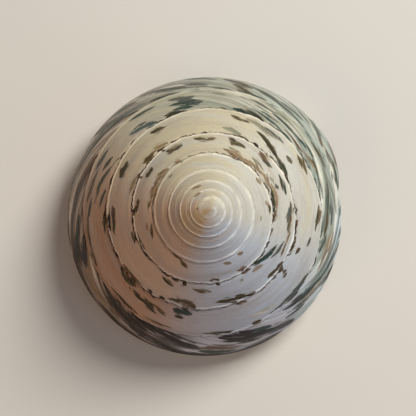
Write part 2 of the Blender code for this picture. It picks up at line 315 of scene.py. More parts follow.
# Markings of each whorl, with a few painted highlights among them: start angle and across, end angle and
# across, half thickness, tone.
MARKS = {
    2: [(180, 0.03, 190, 0.04, 0.1, "brown"), (222, 0.85, 244, 0.72, 0.1, "tan")],
    3: [(233, 0.6, 254, 0.45, 0.1, "tan")],
    5: [
        (324, 0.82, 332, 0.76, 0.07, "tan"), (348, 0.67, 353, 0.72, 0.06, "tan"),
        (352, 0.8, 361, 0.82, 0.05, "olive"), (221, 0.68, 227, 0.6, 0.05, "haze"),
        (293, 0.92, 300, 0.91, 0.04, "brown"), (240, 0.9, 245, 0.87, 0.04, "tan"),
        (142, 0.93, 155, 0.92, 0.03, "tan"), (168, 0.93, 182, 0.9, 0.03, "tan"),
        (187, 0.92, 205, 0.92, 0.04, "tan"),
    ],
    6: [
        (2, 0.32, 10, 0.28, 0.04, "haze"), (48, 0.2, 55, 0.09, 0.05, "tan"),
        (65, 0.28, 73, 0.12, 0.05, "tan"), (110, 0.32, 120, 0.12, 0.045, "brown"),
        (119, 0.07, 132, 0.05, 0.03, "brown"), (154, 0.33, 169, 0.1, 0.05, "brown"),
        (163, 0.38, 171, 0.3, 0.03, "tan"), (184, 0.18, 193, 0.07, 0.05, "brown"),
        (194, 0.08, 211, 0.12, 0.08, "tan"), (208, 0.16, 227, 0.06, 0.08, "tan"),
        (236, 0.09, 243, 0.03, 0.05, "tan"), (284, 0.22, 298, 0.05, 0.06, "brown"),
        (288, 0.16, 304, 0.1, 0.09, "tan"), (302, 0.1, 324, 0.15, 0.08, "tan"),
        (287, 0.34, 297, 0.29, 0.04, "haze"), (308, 0.38, 322, 0.31, 0.04, "haze"),
        (325, 0.22, 338, 0.13, 0.06, "tan"), (326, 0.3, 335, 0.36, 0.04, "haze"),
        (336, 0.26, 361, 0.12, 0.05, "tan"), (337, 0.16, 361, 0.04, 0.04, "green"),
        (336, 0.4, 341, 0.42, 0.04, "slate"),
        (54, 0.86, 63, 0.77, 0.06, "brown"), (80, 0.92, 84, 0.8, 0.05, "olive"),
        (83, 0.8, 89, 0.85, 0.05, "brown"), (147, 0.9, 165, 0.9, 0.02, "dark"),
        (178, 0.92, 181, 0.85, 0.04, "dark"), (181, 0.84, 187, 0.68, 0.07, "dark"),
        (186, 0.68, 192, 0.72, 0.06, "brown"), (180, 0.93, 184, 0.9, 0.03, "dark"),
        (210, 0.72, 215, 0.59, 0.08, "olive"), (214, 0.6, 220, 0.7, 0.07, "olive"),
        (207, 0.94, 210, 0.88, 0.04, "dark"), (236, 0.76, 243, 0.54, 0.08, "olive"),
        (242, 0.54, 250, 0.7, 0.08, "olive"), (238, 0.76, 248, 0.76, 0.05, "tan"),
        (233, 0.94, 237, 0.88, 0.04, "dark"), (260, 0.78, 271, 0.56, 0.08, "olive"),
        (269, 0.62, 276, 0.69, 0.06, "brown"), (285, 0.82, 291, 0.7, 0.06, "dark"),
        (287, 0.58, 293, 0.55, 0.06, "olive"), (290, 0.68, 300, 0.59, 0.08, "olive"),
        (310, 0.86, 319, 0.66, 0.1, "brown"), (316, 0.6, 324, 0.7, 0.08, "green"),
        (331, 0.79, 346, 0.68, 0.06, "green"), (352, 0.82, 362, 0.73, 0.07, "slate"),
    ],
    7: [
        (-2, 0.08, 7, 0.05, 0.07, "brown"), (26, 0.33, 43, 0.12, 0.06, "teal"),
        (38, 0.12, 49, 0.07, 0.05, "green"), (20, 0.6, 35, 0.39, 0.035, "slate"),
        (43, 0.28, 53, 0.19, 0.05, "tan"), (52, 0.07, 61, 0.03, 0.025, "brown"),
        (61, 0.22, 65, 0.24, 0.03, "haze"), (80, 0.07, 84, 0.04, 0.03, "dark"),
        (88, 0.3, 101, 0.2, 0.042, "olive"), (107, 0.14, 110, 0.05, 0.07, "dark"),
        (113, 0.08, 119, 0.05, 0.04, "dark"), (115, 0.3, 126, 0.17, 0.042, "olive"),
        (158, 0.14, 167, 0.1, 0.05, "olive"), (195, 0.14, 209, 0.07, 0.04, "tan"),
        (206, 0.04, 211, 0.03, 0.03, "dark"), (218, 0.13, 228, 0.08, 0.05, "olive"),
        (228, 0.14, 240, 0.08, 0.06, "tan"), (280, 0.2, 292, 0.1, 0.05, "haze"),
        (301, 0.45, 313, 0.31, 0.05, "olive"), (307, 0.34, 321, 0.16, 0.06, "olive"),
        (316, 0.18, 335, 0.06, 0.05, "green"), (323, 0.46, 329, 0.42, 0.05, "olive"),
        (302, 0.03, 307, 0.04, 0.025, "dark"),
        (-4, 0.7, 8, 0.62, 0.06, "slate"), (6, 0.62, 14, 0.73, 0.05, "green"),
        (-3, 0.78, 20, 0.72, 0.04, "brown"), (12, 0.8, 22, 0.7, 0.03, "tan"),
        (21, 0.72, 31, 0.73, 0.035, "brown"), (32, 0.93, 40, 0.87, 0.05, "dark"),
        (38, 0.87, 47, 0.81, 0.05, "olive"), (59, 0.92, 68, 0.88, 0.05, "dark"),
        (65, 0.84, 72, 0.73, 0.08, "olive"), (70, 0.8, 84, 0.75, 0.07, "olive"),
        (72, 0.92, 76, 0.9, 0.03, "dark"), (98, 0.9, 108, 0.74, 0.1, "brown"),
        (105, 0.76, 115, 0.82, 0.07, "dark"), (117, 0.92, 121, 0.91, 0.035, "dark"),
        (125, 0.94, 129, 0.91, 0.03, "dark"), (133, 0.92, 149, 0.92, 0.025, "brown"),
        (168, 0.78, 182, 0.66, 0.06, "olive"), (171, 0.91, 183, 0.88, 0.03, "dark"),
        (178, 0.74, 186, 0.76, 0.05, "brown"), (203, 0.7, 208, 0.62, 0.09, "olive"),
        (206, 0.64, 214, 0.7, 0.08, "olive"), (206, 0.8, 209, 0.76, 0.05, "olive"),
        (235, 0.79, 244, 0.66, 0.06, "olive"), (283, 0.77, 290, 0.67, 0.05, "olive"),
        (287, 0.64, 295, 0.72, 0.05, "olive"), (292, 0.8, 301, 0.78, 0.05, "haze"),
        (298, 0.74, 312, 0.68, 0.07, "haze"), (303, 0.8, 316, 0.74, 0.06, "slate"),
        (326, 0.86, 337, 0.79, 0.06, "olive"), (355, 0.9, 364, 0.84, 0.04, "brown"),
    ],
    8: [
        (3, 0.05, 9, 0.03, 0.03, "brown"), (15, 0.05, 27, 0.06, 0.025, "olive"),
        (19, 0.28, 24, 0.21, 0.04, "olive"), (35, 0.19, 38, 0.14, 0.03, "olive"),
        (36, 0.26, 41, 0.23, 0.03, "dark"), (35, 0.05, 39, 0.05, 0.03, "brown"),
        (65, 0.07, 72, 0.05, 0.03, "brown"), (12, 0.59, 17, 0.5, 0.03, "slate"),
        # The pale cream patch here is a painted highlight.
        (-4, 0.9, 8, 0.74, 0.05, "green"), (53, 0.7, 67, 0.62, 0.06, "painted_highlight_cream"),
        (99, 0.18, 110, 0.13, 0.08, "teal"), (104, 0.34, 109, 0.32, 0.03, "dark"),
        (112, 0.46, 118, 0.34, 0.025, "brown"), (113, 0.36, 122, 0.24, 0.025, "brown"),
        (118, 0.5, 129, 0.28, 0.04, "dark"), (127, 0.36, 134, 0.32, 0.035, "dark"),
        (120, 0.34, 128, 0.22, 0.03, "olive"), (130, 0.24, 137, 0.3, 0.025, "brown"),
        (135, 0.12, 143, 0.1, 0.06, "dark"), (138, 0.2, 149, 0.06, 0.06, "olive"),
        (170, 0.14, 182, 0.05, 0.035, "dark"), (171, 0.1, 176, 0.15, 0.03, "dark"),
        (184, 0.25, 194, 0.11, 0.04, "slate"), (187, 0.45, 200, 0.34, 0.03, "slate"),
        (194, 0.38, 213, 0.08, 0.035, "slate"), (203, 0.43, 212, 0.31, 0.045, "slate"),
        (187, 0.83, 204, 0.67, 0.06, "brown"), (180, 0.72, 189, 0.65, 0.05, "olive"),
        (203, 0.8, 214, 0.7, 0.05, "slate"), (226, 0.31, 241, 0.07, 0.07, "bluish"),
        (229, 0.36, 237, 0.29, 0.03, "teal"), (231, 0.85, 244, 0.75, 0.05, "slate"),
        (247, 0.1, 257, 0.04, 0.055, "green"), (253, 0.2, 262, 0.14, 0.07, "teal"),
        (251, 0.42, 266, 0.33, 0.075, "teal"), (260, 0.25, 268, 0.31, 0.06, "teal"),
        (252, 0.74, 263, 0.56, 0.08, "slate"), (256, 0.52, 264, 0.66, 0.06, "teal"),
        (272, 0.8, 279, 0.7, 0.06, "haze"), (284, 0.08, 299, 0.05, 0.07, "green"),
        (289, 0.35, 310, 0.09, 0.04, "teal"), (286, 0.78, 304, 0.64, 0.06, "slate"),
        (302, 0.52, 316, 0.36, 0.06, "teal"), (293, 0.5, 302, 0.42, 0.03, "haze"),
        (296, 0.37, 308, 0.27, 0.03, "slate"), (303, 0.72, 312, 0.66, 0.06, "haze"),
        (312, 0.06, 319, 0.04, 0.03, "teal"), (313, 0.2, 326, 0.1, 0.035, "brown"),
        (317, 0.38, 326, 0.32, 0.04, "teal"), (321, 0.43, 331, 0.39, 0.035, "teal"),
        (325, 0.14, 338, 0.21, 0.04, "tan"), (329, 0.27, 339, 0.24, 0.03, "olive"),
        (324, 0.82, 337, 0.74, 0.06, "olive"), (334, 0.66, 344, 0.45, 0.04, "haze"),
        (336, 0.22, 350, 0.12, 0.035, "teal"), (343, 0.5, 353, 0.32, 0.045, "slate"),
        (349, 0.36, 362, 0.21, 0.06, "teal"), (350, 0.52, 363, 0.4, 0.045, "slate"),
        (342, 0.62, 358, 0.72, 0.08, "haze"), (30, 0.93, 56, 0.9, 0.04, "slate"),
        (108, 0.84, 122, 0.86, 0.03, "brown"), (126, 0.89, 143, 0.84, 0.04, "dark"),
        (156, 0.88, 166, 0.82, 0.045, "dark"), (164, 0.85, 180, 0.78, 0.04, "dark"),
        (63, 0.92, 68, 0.9, 0.03, "dark"), (78, 0.9, 92, 0.88, 0.03, "slate"),
    ],
    9: [
        (-4, 0.26, 9, 0.14, 0.06, "olive"), (9, 0.23, 18, 0.1, 0.06, "slate"),
        (4, 0.52, 20, 0.44, 0.05, "tan"), (9, 0.36, 26, 0.27, 0.05, "tan"),
        (14, 0.88, 32, 0.44, 0.07, "teal"), (29, 0.46, 50, 0.14, 0.07, "teal"),
        (39, 0.22, 50, 0.15, 0.06, "dark"), (24, 0.82, 48, 0.34, 0.045, "slate"),
        (20, 0.97, 31, 0.76, 0.06, "teal"), (28, 0.62, 44, 0.38, 0.04, "tan"),
        (42, 0.56, 52, 0.44, 0.05, "teal"), (49, 0.82, 57, 0.74, 0.06, "dark"),
        (50, 0.74, 65, 0.44, 0.12, "navy"), (61, 0.46, 83, 0.12, 0.18, "plum"),
        # The pale ice patches here are painted highlights.
        (33, 0.96, 43, 0.86, 0.08, "painted_highlight_ice"), (42, 0.85, 50, 0.72, 0.06, "painted_highlight_ice"),
        (33, 0.27, 40, 0.12, 0.025, "painted_highlight_ice"),
        (60, 0.34, 68, 0.18, 0.07, "teal"), (58, 0.86, 80, 0.95, 0.09, "navy"),
        (76, 0.6, 92, 0.48, 0.11, "brown"), (79, 0.78, 93, 0.66, 0.14, "green"),
        (76, 0.96, 106, 0.9, 0.13, "dark"),
        (95, 0.5, 112, 0.14, 0.17, "dark"), (100, 0.9, 116, 0.66, 0.15, "dark"),
        (108, 0.26, 127, 0.05, 0.09, "dark"), (112, 0.76, 127, 0.44, 0.14, "dark"),
        (117, 0.34, 136, 0.1, 0.07, "dark"), (124, 0.48, 147, 0.06, 0.09, "dark"),
        (127, 0.56, 141, 0.32, 0.08, "brown"), (128, 0.9, 142, 0.74, 0.07, "dark"),
        (139, 0.62, 157, 0.38, 0.06, "tan"), (152, 0.36, 162, 0.14, 0.05, "tan"),
        (158, 0.34, 171, 0.08, 0.09, "dark"), (159, 0.56, 174, 0.34, 0.1, "dark"),
        (161, 0.74, 168, 0.58, 0.09, "dark"), (171, 0.28, 182, 0.18, 0.05, "dark"),
        (168, 0.94, 184, 0.86, 0.05, "dark"), (186, 0.48, 199, 0.28, 0.06, "brown"),
        (193, 0.34, 209, 0.06, 0.09, "brown"), (197, 0.8, 207, 0.5, 0.07, "brown"),
        (205, 0.52, 220, 0.34, 0.05, "olive"), (218, 0.38, 236, 0.08, 0.06, "slate"),
        (217, 0.9, 226, 0.5, 0.11, "slate"), (226, 0.84, 238, 0.5, 0.12, "slate"),
        (241, 0.8, 253, 0.34, 0.08, "slate"), (247, 0.42, 264, 0.14, 0.07, "slate"),
        (244, 0.12, 258, 0.04, 0.06, "slate"), (260, 0.38, 270, 0.24, 0.05, "slate"),
        (259, 0.22, 281, 0.05, 0.03, "slate"), (262, 0.92, 274, 0.6, 0.07, "slate"),
        (277, 0.76, 288, 0.42, 0.13, "olive"), (281, 0.38, 289, 0.12, 0.06, "olive"),
        (284, 0.12, 296, 0.08, 0.06, "slate"), (289, 0.54, 302, 0.26, 0.06, "slate"),
        (300, 0.28, 316, 0.08, 0.04, "slate"), (302, 0.42, 314, 0.28, 0.04, "slate"),
        (304, 0.84, 318, 0.36, 0.04, "olive"), (315, 0.86, 325, 0.32, 0.09, "slate"),
        (323, 0.34, 328, 0.18, 0.05, "brown"), (326, 0.78, 336, 0.42, 0.07, "brown"),
        (329, 0.28, 342, 0.16, 0.06, "dark"), (339, 0.14, 350, 0.08, 0.05, "slate"),
        (336, 0.86, 346, 0.54, 0.06, "slate"), (341, 0.5, 350, 0.3, 0.05, "olive"),
    ],
}


def marking(turn, across):
    """The nearest marking at each point: how far inside it (1 at its spine, 0 at its edge), and tone."""
    cover = np.full(turn.shape, FAR_FROM_MARKS)
    tone = np.zeros(turn.shape + (4,))
    for whorl, marks in MARKS.items():
        for start, start_across, end, end_across, thickness, name in marks:
            reach = 0.12 * (end - start)
            rise = 0.12 * (end_across - start_across)
            first = whorl + (start - reach + MARK_START) / 360
            last = whorl + (end + reach + MARK_START) / 360
            near = (turn > first - 0.05) & (turn < last + 0.05)
            if not near.any():
                continue
            x, y = turn[near], across[near]
            turn_size = TAU * float(keel(np.array(first))[0]) / float(width(np.array(first)))
            along = np.array([(last - first) * turn_size, end_across - start_across + 2 * rise])
            offset = np.stack([(x - first) * turn_size, y - start_across + rise], axis=-1)
            share = np.clip(offset @ along / (along @ along), 0.0, 1.0)
            gap = np.linalg.norm(offset - share[:, None] * along, axis=-1)
            taper = 0.06 + 1.25 * (1 - np.abs(2 * share - 1) ** 1.6)
            value = np.maximum(1 - gap / (thickness * taper), FAR_FROM_MARKS)
            better = value > cover[near]
            ids = np.flatnonzero(near)[better]
            cover.flat[ids] = value[better]
            tone.reshape(-1, 4)[ids] = TONES[name]
    return cover, tone


patches = []


def add_patch(position, turn, across, inside, u, v, marked=False):
    """Keep a grid of points with what the material and the baking map need at each."""
    shape = position.shape[:2]
    turn, across, inside, u, v = (
        np.broadcast_to(np.asarray(f, float), shape) for f in (turn, across, inside, u, v))
    cover, tone = np.full(shape, FAR_FROM_MARKS), np.zeros(shape + (4,))
    if marked:
        cover, tone = marking(turn, across)
    fields = np.stack([turn, across, inside, u, v, cover], axis=-1)
    patches.append((position, np.concatenate([fields, tone], axis=-1)))


KEEL_TABLE = np.linspace(0.0, TURNS, 1001)
KEEL_PATH = np.concatenate([[0.0], np.cumsum(np.linalg.norm(
    np.diff(keel(KEEL_TABLE), axis=0), axis=1))])


def disc_map(turn, share, centre, size):
    angle = -TAU * turn
    return centre[0] + size * share * np.cos(angle), centre[1] + size * share * np.sin(angle)


def add_side():
    g = np.arange(round(FIRST_TURN * STEPS), TURNS * STEPS + 1) / STEPS
    across, g = np.meshgrid(np.array(SIDE_ROWS), g, indexing="ij")
    turn = g - lean(across)
    start = np.interp(turn - 1, KEEL_TABLE, KEEL_PATH)
    end = np.interp(turn, KEEL_TABLE, KEEL_PATH)
    share = (start + (end - start) * across) / KEEL_PATH[-1]
    u, v = disc_map(turn, share, (0.335, 0.665), 0.325)
    add_patch(placed(turn, side(turn, across)), turn, across, 0.0, u, v, marked=True)


def base_rows():
    face = np.linspace(0.0, HOLLOW_RIM, BASE_FACE_ROWS + 1)
    hollow = np.linspace(HOLLOW_RIM, 1.0, HOLLOW_ROWS + 1)[1:]
    return np.concatenate([face, hollow])


def add_base():
    inward, share = np.meshgrid(base_rows(), np.linspace(0, 1, STEPS - LEAN_STEPS + 1),
                                indexing="ij")
    start = TURNS - 1 - inner_lean(inward)
    end = TURNS - lean(1 + inward)
    turn = start + (end - start) * share
    u, v = disc_map(turn, 1 - 0.95 * inward, (0.835, 0.835), 0.155)
    add_patch(placed(turn, base(turn, inward)), turn, 1 + inward, 0.0, u, v)


def forward(turn, profile):
    """Direction of growth at these points."""
    step = 0.002
    return unit(placed(turn + step, profile) - placed(turn - step, profile))


def add_mouth():
    rows = base_rows()
    # The pillar: a rounded face between the outer lip's end and the whorl before.
    inward, share = np.meshgrid(rows[BASE_FACE_ROWS:], np.linspace(0, 1, PILLAR_COLUMNS + 1),
                                indexing="ij")
    outer_turn = TURNS - lean(1 + inward)
    inner_turn = TURNS - 1 - inner_lean(inward)
    outer, inner = base(outer_turn, inward), base(inner_turn, inward)
    start, end = placed(outer_turn, outer), placed(inner_turn, inner)
    gap = np.linalg.norm(end - start, axis=-1, keepdims=True)
    growing = unit(forward(outer_turn, outer) + forward(inner_turn, inner))
    growing[-1] = growing[-2]
    round_off = np.sin(math.pi * share)[..., None] * PILLAR_ROUNDING
    pillar = start + (end - start) * share[..., None] + growing * gap * round_off
    u = 0.7 + 0.28 * share
    v = 0.36 + 0.26 * (inward - HOLLOW_RIM) / (1 - HOLLOW_RIM)
    add_patch(pillar, outer_turn, 1 + inward, 1.0, u, v)

    # The rim, from the seam's corner round the outer lip, over the pillar and back.
    side_rows = np.array(SIDE_ROWS)
    face_rows = rows[:BASE_FACE_ROWS + 1]
    side_turn = TURNS - lean(side_rows)
    face_turn = TURNS - lean(1 + face_rows)
    back_turn = TURNS - 1 - inner_lean(face_rows)
    side_profile = side(side_turn, side_rows)
    face_profile, back_profile = base(face_turn, face_rows), base(back_turn, face_rows)
    rim = np.concatenate([
        placed(side_turn, side_profile), placed(face_turn, face_profile)[1:],
        pillar[0, 1:], placed(back_turn, back_profile)[::-1][1:],
    ])
    growth = np.concatenate([
        forward(side_turn, side_profile), forward(face_turn, face_profile)[1:],
        growing[0, 1:], forward(back_turn, back_profile)[::-1][1:],
    ])
    outer_across = np.concatenate([side_rows, 1 + face_rows[1:]])
    inner_across = (1 + face_rows)[::-1][1:]
    position = np.concatenate([
        np.interp(outer_across, *np.transpose(OUTER_MATCH)),
        np.linspace(OUTER_MATCH[-1][1], INNER_MATCH[-1][1], PILLAR_COLUMNS + 1)[1:],
        np.interp(inner_across, *np.transpose(INNER_MATCH)),
    ])
    swell = np.concatenate([
        LIP_SWELL * ease(outer_across / CORNER_WIDTH), np.full(PILLAR_COLUMNS, PILLAR_SWELL),
        np.interp(inner_across, [1.0, 1.5, 1.7], [0.0, 0.3 * MM, PILLAR_SWELL]),
    ])[:, None]
    back = LIP_DEPTH + np.arange(round(CAVITY_TURNS * CAVITY_STEPS) + 1) / CAVITY_STEPS
    ring, ring_turn = cavity(back, position)
    inside = placed(ring_turn, ring[..., :2])
    count = len(position)
    around = np.arange(count) / (count - 1)
    steps = np.linspace(0, 1, RIM_ROWS + 1)
    control = rim + growth * swell + (inside[:, 0] - rim) * 0.3
    s = steps[None, :, None]
    band = rim[:, None] * (1 - s) ** 2 + control[:, None] * 2 * s * (1 - s) + inside[:, :1] * s ** 2
    place_turn = np.full((count, 1), float(TURNS))
    place_across = np.concatenate([
        outer_across, np.full(PILLAR_COLUMNS, 1 + HOLLOW_RIM), inner_across])[:, None]
    add_patch(band, place_turn, place_across, ease(steps[None] * 1.5),
              0.02 + 0.04 * steps[None], 0.02 + 0.28 * around[:, None])
    depth = (back - back[0]) / (back[-1] - back[0])
    add_patch(inside, ring_turn, place_across, 1.0,
              0.06 + 0.58 * depth[None], 0.02 + 0.28 * around[:, None])


PILLAR_ROUNDING = 0.16
LIP_SWELL = 0.7 * MM
CORNER_WIDTH = 0.1
PILLAR_SWELL = 1.2 * MM
LIP_DEPTH = 0.012
RIM_ROWS = 6


def standing():
    """Matrix from the shell's own frame to its stable rest, on the CAD's box."""
    across = Matrix.Rotation(STANDING_LEAN_TOWARD, 3, "Z") @ Vector((0, 1, 0))
    turned = Matrix.Rotation(STANDING_LEAN, 4, across)
    points = np.concatenate([p.reshape(-1, 3) for p, _ in patches])
    world = points @ np.array(turned.to_3x3()).T
    low, high = world.min(axis=0), world.max(axis=0)
    box_low, box_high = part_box("shell")
    shift = (Vector(box_low) + Vector(box_high) - Vector(low) - Vector(high)) / 2
    shift.z = box_low.z - low[2]
    return Matrix.Translation(shift) @ turned


def build_mesh(name, place):
    """One closed mesh of all patches, with shared points and each corner's own fields."""
    points, fields, faces = [], [], []
    start = 0
    for position, field in patches:
        rows, columns = position.shape[:2]
        ids = start + np.arange(rows * columns).reshape(rows, columns)
        quads = np.stack([ids[:-1, :-1], ids[:-1, 1:], ids[1:, 1:], ids[1:, :-1]], axis=-1)
        points.append(position.reshape(-1, 3))
        fields.append(field.reshape(-1, field.shape[-1]))
        faces.append(quads.reshape(-1, 4))
        start += rows * columns
    points, fields, faces = np.concatenate(points), np.concatenate(fields), np.concatenate(faces)
    _, first, shared = np.unique(np.round(points / (0.0005 * MM)).astype(np.int64), axis=0,
                                 return_index=True, return_inverse=True)
    shared = shared.reshape(-1)
    kept, corners = [], []
    for quad, merged in zip(faces.tolist(), shared[faces].tolist()):
        loop = [i for i in range(4) if merged[i] != merged[i - 1]]
        if len(loop) > 2 and len({merged[i] for i in loop}) == len(loop):
            kept.append([merged[i] for i in loop])
            corners.extend(quad[i] for i in loop)
    mesh = bpy.data.meshes.new(name)
    mesh.from_pydata(points[first].tolist(), [], kept)
    mesh.transform(place)
    return mesh, fields[corners]


def tree_tools(material):
    """Helpers that add and link nodes in this material."""
    tree = material.node_tree

    def node(kind, values=None, **settings):
        made = tree.nodes.new(kind)
        for key, value in settings.items():
            setattr(made, key, value)
        for key, value in (values or {}).items():
            if isinstance(value, bpy.types.NodeSocket):
                tree.links.new(value, made.inputs[key])
            else:
                made.inputs[key].default_value = value
        return made

    def calc(operation, first, second=0.0, third=0.0):
        return node("ShaderNodeMath", {0: first, 1: second, 2: third},
                    operation=operation).outputs[0]

    def ramp(value, low, high):
        """0 below low, 1 above high, smooth between; low may be the larger."""
        return node("ShaderNodeMapRange", {"Value": value, "From Min": low, "From Max": high},
                    interpolation_type="SMOOTHSTEP").outputs["Result"]

    def mix(share, first, second):
        made = node("ShaderNodeMix", {"Factor": share}, data_type="RGBA")
        for socket, value in zip(made.inputs[6:8], (first, second)):
            if isinstance(value, bpy.types.NodeSocket):
                tree.links.new(value, socket)
            else:
                socket.default_value = (*value, 1.0)
        return made.outputs[2]

    return node, calc, ramp, mix


# Colours of the pearl.
CREAM = (0.585, 0.52, 0.35)
SILVER = (0.57, 0.57, 0.515)
# The creamier side of each turn is painted warm light, over the pearl's own random cream and silver
# patches.
CREAM_TURN = 0.42           # where in each turn the pearl starts to be creamier
AMBER = (0.50, 0.33, 0.135)
AMBER_TURN = 0.21
AMBER_END_TURN = 0.5
# ROSE and ROSE_DEEP: painted warm reflection, tinting the same side of every turn.
ROSE = (0.625, 0.38, 0.24)
ROSE_DEEP = (0.45, 0.225, 0.12)
ROSE_TURN = 0.17
# BLUISH: painted cool light, tinting the same side of every turn.
BLUISH = (0.455, 0.525, 0.655)
BLUISH_TURN = 0.96
MINT = (0.40, 0.48, 0.42)
LILAC = (0.38, 0.325, 0.32)
# LILAC_BROWN: painted shadow with a painted warm reflection, on one stretch of the last whorl.
LILAC_BROWN = (0.32, 0.195, 0.13)
# LILAC_WHITE: the pale ground between the marks on one stretch of the last whorl, tinted blue by painted
# cool light.
LILAC_WHITE = (0.60, 0.60, 0.74)
# RIM_BLUE_REFLECTION: painted reflection, a light blue band along the outer wall of one stretch of the
# last whorl.
RIM_BLUE_REFLECTION = (0.52, 0.62, 0.70)
# The pale ridge above each seam is partly its own paler pearl and partly painted highlight: RIDGE, bluer
# on one side of each turn as painted cool light (RIDGE_BLUISH), and dimmer from RIDGE_DIM_TURN on as
# painted shade.
RIDGE_DIM_TURN = 0.19
FAINT_SEAM_TURN = 0.01       # a quarter turn before the stretch where the seam line is faint
RIDGE = (0.84, 0.79, 0.66)
RIDGE_BLUISH = (0.80, 0.83, 0.84)
SEAM_LINE = (0.035, 0.022, 0.014)
SMOKE = (0.19, 0.235, 0.215)
HAZE_GREEN = (0.29, 0.305, 0.225)
SHADE_STREAK = (0.11, 0.145, 0.13)
# SHADE_BROWN: painted shadow on one stretch of the last whorl.
SHADE_BROWN = (0.030, 0.014, 0.007)
BASE_CREAM = (0.66, 0.60, 0.47)
BASE_FLECK = (0.17, 0.15, 0.085)
INNER_SILVER = (0.70, 0.70, 0.67)
INNER_PINK = (0.70, 0.62, 0.61)
INNER_GREEN = (0.60, 0.68, 0.64)
# Distance along the spiral, in whorl widths, for one turn and for one step across.
ALONG_TURN = 13.0
ALONG_ACROSS = 2.0


